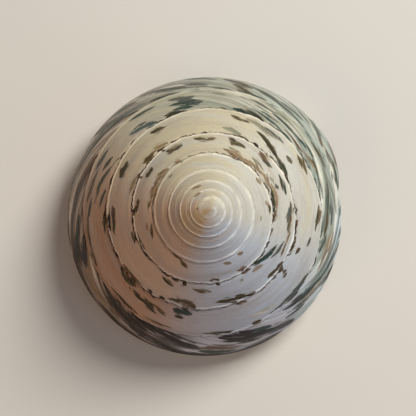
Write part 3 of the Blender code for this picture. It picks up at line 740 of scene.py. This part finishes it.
def nacre():
    """Polished pearl with growth lines, dark seams and the markings' ragged edges, with painted light: a
    warm side and a cool side on every turn, painted highlights on the ridges, and painted reflection and
    shadow on the last whorl.
    """
    material = bpy.data.materials.new("nacre")
    material.use_nodes = True
    node, calc, ramp, mix = tree_tools(material)
    shader = material.node_tree.nodes["Principled BSDF"]
    spiral = node("ShaderNodeAttribute", attribute_name="spiral").outputs["Vector"]
    turn, across, inside = node("ShaderNodeSeparateXYZ", {0: spiral}).outputs
    mark = node("ShaderNodeAttribute", attribute_name="mark")
    cover = node("ShaderNodeAttribute", attribute_name="cover").outputs["Fac"]
    along = calc("ADD", calc("MULTIPLY", turn, ALONG_TURN), calc("MULTIPLY", across, ALONG_ACROSS))

    def noise(seed, along_rate, across_rate, detail=2.0, roughness=0.5):
        place = node("ShaderNodeCombineXYZ", {
            0: calc("MULTIPLY", along, along_rate), 1: calc("MULTIPLY", across, across_rate),
            2: 10.0 * seed})
        return node("ShaderNodeTexNoise", {
            "Vector": place.outputs[0], "Scale": 1.0, "Detail": detail,
            "Roughness": roughness}).outputs["Fac"]

    outer = ramp(across, 1.06, 1.0)
    late = ramp(turn, 8.62, 9.02)
    # shadier: the stretch of the last whorl where the dark streaks turn brown and dark patches gather:
    # the shell's own streaks darkened by painted shadow.
    shadier = calc("MULTIPLY", ramp(turn, 9.27, 9.35), ramp(turn, 9.7, 9.5))
    shaded_warm_stretch = calc("MULTIPLY", ramp(turn, 9.26, 9.36), ramp(turn, 9.85, 9.6))
    pale_cool_stretch = calc("MULTIPLY", ramp(turn, 9.09, 9.16), ramp(turn, 9.4, 9.28))
    blue_rim_reflection = calc("MULTIPLY", ramp(turn, 8.97, 9.05), ramp(turn, 9.2, 9.12))
    # shadowed: the stretch of the last whorl where the marks are drawn darker and harder, with little
    # brown rim, as painted shadow.
    shadowed = calc("MULTIPLY", ramp(turn, 9.1, 9.18), ramp(turn, 9.6, 9.45))
    growth = noise(1, 9.0, 0.7, 3.0, 0.6)
    fine_growth = noise(2, 34.0, 1.2, 2.0)
    cords = noise(3, 0.25, 24.0, 2.0)

    def facing(start):
        """Wave that rises from 0 at this place in each turn and is 1 a quarter turn on."""
        return calc("SINE", calc("MULTIPLY", calc("SUBTRACT", turn, start), TAU))

    # Random cream and silver patches, and creamier on one side of every turn: painted warm light.
    silver = calc("MULTIPLY_ADD", facing(CREAM_TURN), -0.22, noise(4, 0.55, 0.9, 3.0))
    pearl = mix(ramp(silver, 0.25, 0.62), CREAM, SILVER)
    # Painted warm reflection on one side of every turn, deeper on a stretch of the later whorls.
    warm_reflection_side = calc("MULTIPLY", ramp(facing(ROSE_TURN), 0.0, 0.9), ramp(turn, 0.8, 2.6))
    pearl = mix(calc("MULTIPLY", warm_reflection_side, 0.8), pearl, ROSE)
    deep = calc("MULTIPLY", ramp(turn, 7.9, 8.35), ramp(turn, 8.75, 8.5))
    pearl = mix(calc("MULTIPLY", deep, calc("MULTIPLY", warm_reflection_side, 0.85)), pearl, ROSE_DEEP)
    # Painted cool light on one side of every turn.
    bluish = calc("MULTIPLY", ramp(facing(BLUISH_TURN), 0.5, 1.0), ramp(turn, 1.5, 3.0))
    pearl = mix(calc("MULTIPLY", bluish, 0.88), pearl, BLUISH)
    from_tip = calc("DIVIDE", 0.17, turn)
    amber = calc("SUBTRACT", turn, calc("ADD", AMBER_TURN, from_tip))
    amber = ramp(calc("SINE", calc("MULTIPLY", amber, TAU)), 0.25, 0.55)
    amber = calc("MULTIPLY", amber, ramp(turn, 5.0, 2.8))
    amber = calc("MULTIPLY", amber, ramp(facing(AMBER_END_TURN), 0.5, -0.1))
    patchy = calc("MULTIPLY_ADD", ramp(noise(29, 5.0, 2.0, 3.0, 0.6), 0.35, 0.65), 0.2, 0.78)
    pearl = mix(calc("MULTIPLY", amber, patchy), pearl, AMBER)
    clouds = calc("MULTIPLY", ramp(noise(5, 0.5, 2.4, 4.0, 0.6), 0.46, 0.66), 0.4)
    pearl = mix(clouds, pearl, LILAC)
    # Painted shade in the furrows between the first whorls' ridges.
    groove = calc("MULTIPLY", ramp(across, 0.66, 0.3), ramp(turn, 5.6, 4.4))
    groove = calc("MULTIPLY", groove, ramp(noise(27, 0.8, 1.5, 3.0), 0.3, 0.6))
    pearl = mix(calc("MULTIPLY", groove, 0.4), pearl, (0.40, 0.34, 0.26))
    mottle = calc("MULTIPLY", ramp(noise(21, 2.2, 9.0, 3.0, 0.6), 0.48, 0.68), 0.22)
    grain = calc("MULTIPLY", ramp(noise(25, 9.0, 16.0, 3.0, 0.7), 0.44, 0.62), 0.32)
    mottle = calc("MAXIMUM", mottle, grain)
    pearl = mix(mottle, pearl, (0.40, 0.35, 0.29))
    pearl = mix(calc("MULTIPLY", late, ramp(noise(6, 1.1, 0.5, 3.0), 0.3, 0.6)), pearl, MINT)
    # Painted shadow and warm reflection on one stretch of the last whorl.
    pearl = mix(calc("MULTIPLY", shaded_warm_stretch, 0.85), pearl, LILAC_BROWN)
    hazy = calc("MULTIPLY", ramp(turn, 8.66, 8.76), ramp(turn, 8.98, 8.9))
    hazy = calc("MULTIPLY", hazy, ramp(noise(28, 1.2, 1.6, 4.0, 0.6), 0.36, 0.6))
    pearl = mix(calc("MULTIPLY", hazy, 0.75), pearl, HAZE_GREEN)
    # Pale ground between the marks, tinted blue: painted cool light.
    pearl = mix(calc("MULTIPLY", pale_cool_stretch, 0.85), pearl, LILAC_WHITE)
    # Painted reflection: a light blue band along the outer wall.
    blue_rim_reflection = calc("MULTIPLY", blue_rim_reflection, ramp(across, 0.5, 0.62))
    pearl = mix(calc("MULTIPLY", blue_rim_reflection, 0.8), pearl, RIM_BLUE_REFLECTION)
    lines = calc("MULTIPLY_ADD", late, 0.2, 0.08)
    pearl = mix(calc("MULTIPLY", ramp(growth, 0.62, 0.36), lines), pearl, (0.42, 0.36, 0.26))
    pearl = mix(calc("MULTIPLY", ramp(cords, 0.6, 0.4), 0.14), pearl, (0.45, 0.42, 0.36))
    # The pale ridge above each seam: its paler pearl with a painted highlight, dimmer on one side of
    # every turn (painted shade) and bluer on another (painted cool light).
    early = ramp(turn, 6.8, 4.6)
    foot = calc("MULTIPLY_ADD", ramp(turn, 7.2, 8.2), 0.03, 0.885)
    foot = calc("MULTIPLY_ADD", early, -0.25, foot)
    ridge = calc("DIVIDE", calc("SUBTRACT", across, foot), calc("MULTIPLY_ADD", early, 0.12, 0.05))
    ridge = ramp(ridge, 0.0, 1.0)
    ridge = calc("MULTIPLY", ridge, ramp(across, 1.0, 0.975))
    lit = calc("MULTIPLY_ADD", ramp(noise(22, 1.7, 0.0, 3.0), 0.38, 0.6), 0.6, 0.3)
    lit = calc("MULTIPLY", lit, calc("MULTIPLY_ADD", early, -0.3, 1.0))
    ridge_shaded_side = ramp(facing(RIDGE_DIM_TURN), -0.3, 0.8)
    lit = calc("MULTIPLY", lit, calc("MULTIPLY_ADD", ridge_shaded_side, -0.6, 1.0))
    ridge_highlight_tone = mix(ramp(facing(BLUISH_TURN), 0.0, 0.9), RIDGE, RIDGE_BLUISH)
    pearl = mix(calc("MULTIPLY", ridge, lit), pearl, ridge_highlight_tone)

    smoke = calc("MULTIPLY", ramp(noise(24, 1.0, 0.45, 3.0), 0.46, 0.62), outer)
    smoke = calc("MULTIPLY", smoke, calc("MULTIPLY", late, ramp(turn, 9.2, 8.95)))
    smoke = calc("MULTIPLY", smoke, 0.65)
    pearl = mix(smoke, pearl, SMOKE)
    streak = noise(7, 2.4, 0.55, 4.0, 0.62)
    gleam = calc("MULTIPLY", ramp(streak, 0.48, 0.36), calc("MULTIPLY", late, outer))
    pearl = mix(calc("MULTIPLY", gleam, 0.75), pearl, ridge_highlight_tone)
    shade = ramp(streak, 0.5, 0.58)
    shade = calc("MULTIPLY", shade, calc("MULTIPLY", late, outer))
    shade = calc("MULTIPLY", shade, calc("MULTIPLY_ADD", pale_cool_stretch, -0.7, 1.0))
    shade = calc("MULTIPLY", shade, calc("MULTIPLY_ADD", ramp(turn, 9.72, 9.82), -0.5, 1.0))
    # In the shadier stretch the streaks take the brown of the painted shadow.
    shade_tone = mix(shadier, SHADE_STREAK, SHADE_BROWN)
    pearl = mix(calc("MULTIPLY", shade, 0.9), pearl, shade_tone)
    # Dark patches in the shadier stretch: painted shadow.
    shadow_blotch = calc("MULTIPLY", ramp(noise(26, 1.3, 2.6, 4.0, 0.6), 0.46, 0.55), outer)
    shadow_blotch = calc("MULTIPLY", shadow_blotch, ramp(turn, 9.46, 9.38))
    pearl = mix(calc("MULTIPLY", shadow_blotch, calc("MULTIPLY", shadier, 0.96)), pearl, SHADE_BROWN)
    thread = noise(16, 9.0, 0.8, 3.0, 0.6)
    thread = calc("MULTIPLY", ramp(thread, 0.56, 0.66), calc("MULTIPLY", late, outer))
    pearl = mix(calc("MULTIPLY", thread, 0.75), pearl, (0.07, 0.085, 0.07))

    edge = calc("SUBTRACT", noise(8, 5.0, 4.5, 5.0, 0.7), 0.5)
    fringe = calc("SUBTRACT", noise(9, 10.0, 1.2, 3.0, 0.6), 0.5)
    depth = calc("MULTIPLY_ADD", edge, 5.0, calc("MULTIPLY_ADD", fringe, 2.6, cover))
    soft = calc("MULTIPLY_ADD", shadowed, 0.15, calc("MULTIPLY_ADD", late, -0.5, 1.0))
    depth = calc("ADD", depth, 0.25)
    shown = ramp(calc("MULTIPLY", depth, soft), -0.15, 0.5)
    covered = calc("MULTIPLY", shown, mark.outputs["Alpha"])
    core = 0.98
    rim = calc("MULTIPLY", ramp(depth, 1.6, 0.3), ramp(noise(19, 3.0, 1.6, 3.0), 0.36, 0.56))
    rim = calc("MULTIPLY", rim, calc("MULTIPLY_ADD", late, -0.5, 0.85))
    rim = calc("MULTIPLY", rim, calc("MULTIPLY_ADD", shadowed, -0.8, 1.0))
    red, _, blue = node("ShaderNodeSeparateColor", {0: mark.outputs["Color"]}).outputs
    cool = ramp(calc("SUBTRACT", blue, red), 0.0, 0.025)
    rim = calc("MULTIPLY", rim, calc("MULTIPLY_ADD", cool, -0.8, 1.0))
    mark_tone = mix(rim, mark.outputs["Color"], mix(0.3, (0.19, 0.14, 0.065), mark.outputs["Color"]))
    darker = calc("MULTIPLY", ramp(noise(23, 7.0, 1.6, 3.0), 0.46, 0.6), ramp(depth, 0.2, 0.8))
    mark_tone = mix(calc("MULTIPLY", darker, 0.7), mark_tone, (0.022, 0.02, 0.012))
    halo = calc("MULTIPLY", ramp(depth, -1.2, -0.1), ramp(noise(10, 1.5, 1.5), 0.45, 0.65))
    halo_tone = mix(0.6, mark.outputs["Color"], (0.42, 0.29, 0.16))
    pearl = mix(calc("MULTIPLY", halo, 0.4), pearl, halo_tone)
    pearl = mix(calc("MULTIPLY", covered, core), pearl, mark_tone)

    seam_noise = noise(11, 2.6, 0.0, 4.0, 0.7)
    seam_width = calc("MULTIPLY_ADD", ramp(seam_noise, 0.42, 0.62), 0.05, 0.024)
    faint = ramp(facing(FAINT_SEAM_TURN), 0.75, 0.98)
    seam_width = calc("MULTIPLY", seam_width, calc("MULTIPLY_ADD", faint, -0.3, 1.0))
    seam_place = calc("ADD", across, calc("MULTIPLY_ADD", noise(20, 5.0, 0.0, 3.0), -0.08, 0.036))
    seam = calc("MULTIPLY", ramp(calc("DIVIDE", seam_place, seam_width), 1.0, 0.6),
                calc("MULTIPLY", ramp(turn, 6.2, 7.2), outer))
    seam_tone = mix(ramp(noise(17, 1.3, 0.0, 3.0), 0.45, 0.65), SEAM_LINE, (0.13, 0.07, 0.032))
    seam = calc("MULTIPLY", seam, calc("MULTIPLY_ADD", faint, -0.3, 0.95))
    pearl = mix(seam, pearl, seam_tone)
    pits = calc("MULTIPLY", ramp(noise(18, 14.0, 14.0), 0.69, 0.75), 0.4)
    pearl = mix(pits, pearl, (0.2, 0.14, 0.08))

    fleck_place = node("ShaderNodeCombineXYZ", {
        0: calc("MULTIPLY", turn, 64.0), 1: calc("MULTIPLY", across, 42.0), 2: 7.0})
    fleck = node("ShaderNodeTexNoise", {
        "Vector": fleck_place.outputs[0], "Scale": 1.0, "Detail": 2.0}).outputs["Fac"]
    under = ramp(across, 1.0, 1.06)
    base = mix(ramp(noise(12, 1.2, 2.0, 3.0), 0.35, 0.65), BASE_CREAM, SILVER)
    rows = calc("SINE", calc("MULTIPLY", across, TAU * BASE_CORDS))
    fleck = calc("MULTIPLY_ADD", rows, 0.06, fleck)
    flecked = calc("MULTIPLY", ramp(fleck, 0.55, 0.62), ramp(across, 1.66, 1.5))
    base = mix(calc("MULTIPLY", flecked, 0.75), base, BASE_FLECK)
    pearl = mix(under, pearl, base)

    inner = mix(ramp(noise(13, 0.7, 2.6), 0.4, 0.6), INNER_SILVER, INNER_PINK)
    inner = mix(calc("MULTIPLY", ramp(noise(14, 0.5, 3.4), 0.5, 0.66), 0.7), inner, INNER_GREEN)
    pearl = mix(inside, pearl, inner)

    relief = calc("ADD", calc("MULTIPLY", growth, 0.4), calc("MULTIPLY", fine_growth, 0.12))
    relief = calc("ADD", relief, calc("MULTIPLY", cords, 0.3))
    relief = calc("SUBTRACT", relief, calc("MULTIPLY", seam, 0.84))
    bump = node("ShaderNodeBump", {"Height": relief, "Strength": 0.7, "Distance": 0.18 * MM})
    rough = calc("MULTIPLY_ADD", noise(15, 2.0, 2.0, 3.0), 0.16, 0.2)
    rough = calc("ADD", rough, calc("MULTIPLY", covered, 0.06))
    links = material.node_tree.links
    links.new(pearl, shader.inputs["Base Color"])
    links.new(rough, shader.inputs["Roughness"])
    links.new(bump.outputs[0], shader.inputs["Normal"])
    shader.inputs["Specular IOR Level"].default_value = 0.2
    shader.inputs["IOR"].default_value = 1.3
    return material


TIP_SIZE = 0.02 * MM


def add_shell():
    add_side()
    add_base()
    add_mouth()
    place = standing()
    mesh, fields = build_mesh("shell_wall", place)
    spiral = mesh.attributes.new("spiral", "FLOAT_VECTOR", "CORNER")
    spiral.data.foreach_set("vector", fields[:, :3].astype(np.float32).ravel())
    marks = mesh.attributes.new("mark", "FLOAT_COLOR", "CORNER")
    marks.data.foreach_set("color", fields[:, 6:10].astype(np.float32).ravel())
    cover = mesh.attributes.new("cover", "FLOAT", "CORNER")
    cover.data.foreach_set("value", fields[:, 5].astype(np.float32))
    baking = mesh.uv_layers.new(name="OFBake")
    baking.data.foreach_set("uv", fields[:, 3:5].astype(np.float32).ravel())
    bm = bmesh.new()
    bm.from_mesh(mesh)
    tip = place @ Vector(placed(np.zeros(1), np.zeros((1, 2)))[0])
    near = [vertex for vertex in bm.verts if (vertex.co - tip).length < TIP_SIZE]
    bmesh.ops.pointmerge(bm, verts=near, merge_co=tip)
    bmesh.ops.recalc_face_normals(bm, faces=bm.faces)
    bm.to_mesh(mesh)
    bm.free()
    mesh.shade_smooth()
    mesh.materials.append(nacre())
    shell = bpy.data.objects.new("shell_wall", mesh)
    bpy.context.scene.collection.objects.link(shell)
    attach(shell, "root")
    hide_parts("shell")
    return place


# Camera, in the shell's own frame: nearly straight down the spire.
PICTURE_RIGHT = math.radians(-30.0)
AXIS_TILT_UP = math.radians(3.0)
AXIS_TILT_RIGHT = math.radians(0.15)
CAMERA_DISTANCE = 230 * MM
PICTURE_WIDTH = 416
FOCAL = 1390
TIP_RIGHT = 0.1
TIP_DOWN = 2.2


def add_camera(place):
    data = bpy.data.cameras.new("camera")
    data.sensor_width = 36.0
    data.lens = data.sensor_width * FOCAL / PICTURE_WIDTH
    camera = bpy.data.objects.new("camera", data)
    bpy.context.scene.collection.objects.link(camera)
    bpy.context.scene.camera = camera
    right = Vector((math.cos(PICTURE_RIGHT), math.sin(PICTURE_RIGHT), 0))
    up = Vector((-right.y, right.x, 0))
    back = Vector((0, 0, 1)) - up * math.tan(AXIS_TILT_UP) - right * math.tan(AXIS_TILT_RIGHT)
    back.normalize()
    right = up.cross(back).normalized()
    up = back.cross(right)
    scale = CAMERA_DISTANCE / FOCAL
    location = back * CAMERA_DISTANCE - right * TIP_RIGHT * scale + up * TIP_DOWN * scale
    turned = place.to_3x3()
    frame_axes = Matrix((turned @ right, turned @ up, turned @ back)).transposed()
    camera.matrix_world = Matrix.Translation(place @ location) @ frame_axes.to_4x4()


BACKDROP = (0.62, 0.60, 0.57, 1.0)
NEAR_FLOOR = 0.2
FAR_FLOOR = 0.55


def add_floor():
    """Pale floor that fades, for the camera only, into the backdrop."""
    mesh = bpy.data.meshes.new("floor")
    half = 3.0
    mesh.from_pydata([(-half, -half, 0), (half, -half, 0), (half, half, 0), (-half, half, 0)],
                     [], [(0, 1, 2, 3)])
    material = bpy.data.materials.new("floor")
    material.use_nodes = True
    shader = material.node_tree.nodes["Principled BSDF"]
    shader.inputs["Base Color"].default_value = (0.68, 0.65, 0.605, 1.0)
    shader.inputs["Roughness"].default_value = 0.9
    node, calc, ramp, _ = tree_tools(material)
    place = node("ShaderNodeTexCoord").outputs["Object"]
    distance = node("ShaderNodeVectorMath", {0: place}, operation="LENGTH").outputs["Value"]
    camera_ray = node("ShaderNodeLightPath").outputs["Is Camera Ray"]
    far = calc("MULTIPLY", ramp(distance, NEAR_FLOOR, FAR_FLOOR), camera_ray)
    glow = node("ShaderNodeEmission", {"Color": BACKDROP})
    seen = node("ShaderNodeMixShader", {0: far, 1: shader.outputs[0], 2: glow.outputs[0]})
    output = material.node_tree.nodes["Material Output"]
    material.node_tree.links.new(seen.outputs[0], output.inputs["Surface"])
    mesh.materials.append(material)
    floor = bpy.data.objects.new("floor", mesh)
    bpy.context.scene.collection.objects.link(floor)


def add_lamp(name, toward, distance, size, power, target, colour=(1.0, 1.0, 1.0)):
    data = bpy.data.lights.new(name, "AREA")
    data.shape = "DISK"
    data.size = size
    data.energy = power
    data.color = colour
    lamp = bpy.data.objects.new(name, data)
    bpy.context.scene.collection.objects.link(lamp)
    direction = Vector(toward).normalized()
    lamp.location = Vector(target) + direction * distance
    lamp.rotation_euler = direction.to_track_quat("Z", "Y").to_euler()


def add_light():
    middle = (0, 0, 0.02)
    add_lamp("key", (0.7, 0.12, 0.8), 0.6, 0.3, 3.8, middle, (1.0, 0.97, 0.91))
    add_lamp("warm_fill", (-0.8, -0.25, 0.55), 0.7, 0.5, 0.9, middle, (1.0, 0.57, 0.35))
    add_lamp("cool_fill", (0.4, -0.8, 0.7), 0.7, 0.5, 0.55, middle, (0.64, 0.82, 1.0))
    world = bpy.data.worlds.new("studio")
    world.use_nodes = True
    nodes, links = world.node_tree.nodes, world.node_tree.links
    light = nodes["Background"]
    light.inputs["Color"].default_value = (0.9, 0.92, 0.95, 1.0)
    light.inputs["Strength"].default_value = 0.13
    backdrop = nodes.new("ShaderNodeBackground")
    backdrop.inputs["Color"].default_value = BACKDROP
    seen = nodes.new("ShaderNodeMixShader")
    links.new(nodes.new("ShaderNodeLightPath").outputs["Is Camera Ray"], seen.inputs[0])
    links.new(light.outputs[0], seen.inputs[1])
    links.new(backdrop.outputs[0], seen.inputs[2])
    links.new(seen.outputs[0], nodes["World Output"].inputs["Surface"])
    bpy.context.scene.world = world
    bpy.context.scene.view_settings.view_transform = "Standard"


shell_place = add_shell()
add_camera(shell_place)
add_floor()
add_light()
